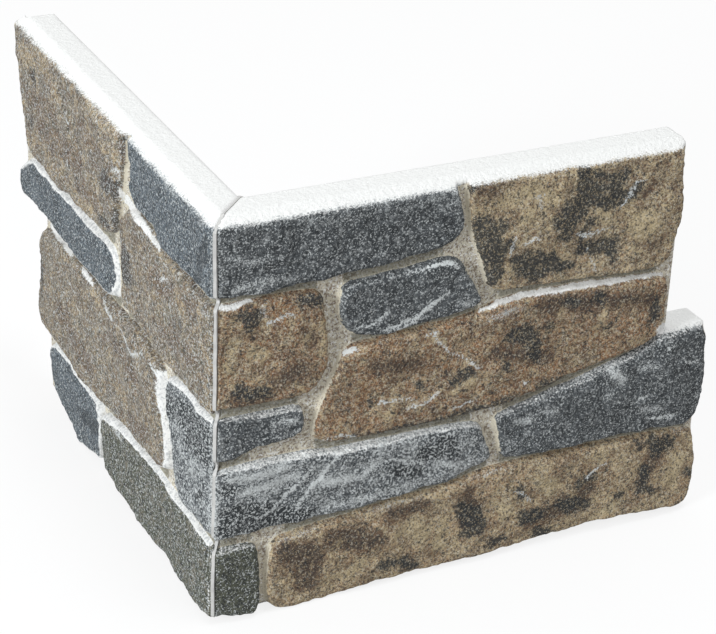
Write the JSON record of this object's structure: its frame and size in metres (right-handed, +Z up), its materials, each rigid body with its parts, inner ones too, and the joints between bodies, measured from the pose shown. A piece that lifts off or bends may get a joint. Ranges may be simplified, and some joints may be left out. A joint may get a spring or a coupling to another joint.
{
  "type": "stone cladding corner piece",
  "caption": "L-shaped corner piece of stone-look wall cladding: mitred stoneware panels glued at the corner, with stepped ends that interlock with the next panels.",
  "frame": {"origin": "centre of the bounding box at the level of the foot", "axes": "+Z up along the corner, +X along the long panel away from the corner, +Y along the return panel away from the corner, into the wall from the long panel's face"},
  "size_m": [0.1936, 0.1972, 0.15],
  "materials": {
    "stoneware_long": "rough printed stoneware, rust, olive and slate stones over sand-coloured joints",
    "stoneware_return": "rough printed stoneware, brown, olive and slate stones over pale joints",
    "grey_glue": "matt cured resin"
  },
  "bodies": {
    "root": {"long_panel": "stoneware_long", "return_panel": "stoneware_return", "mitre_glue": "grey_glue"}
  },
  "joints": []
}
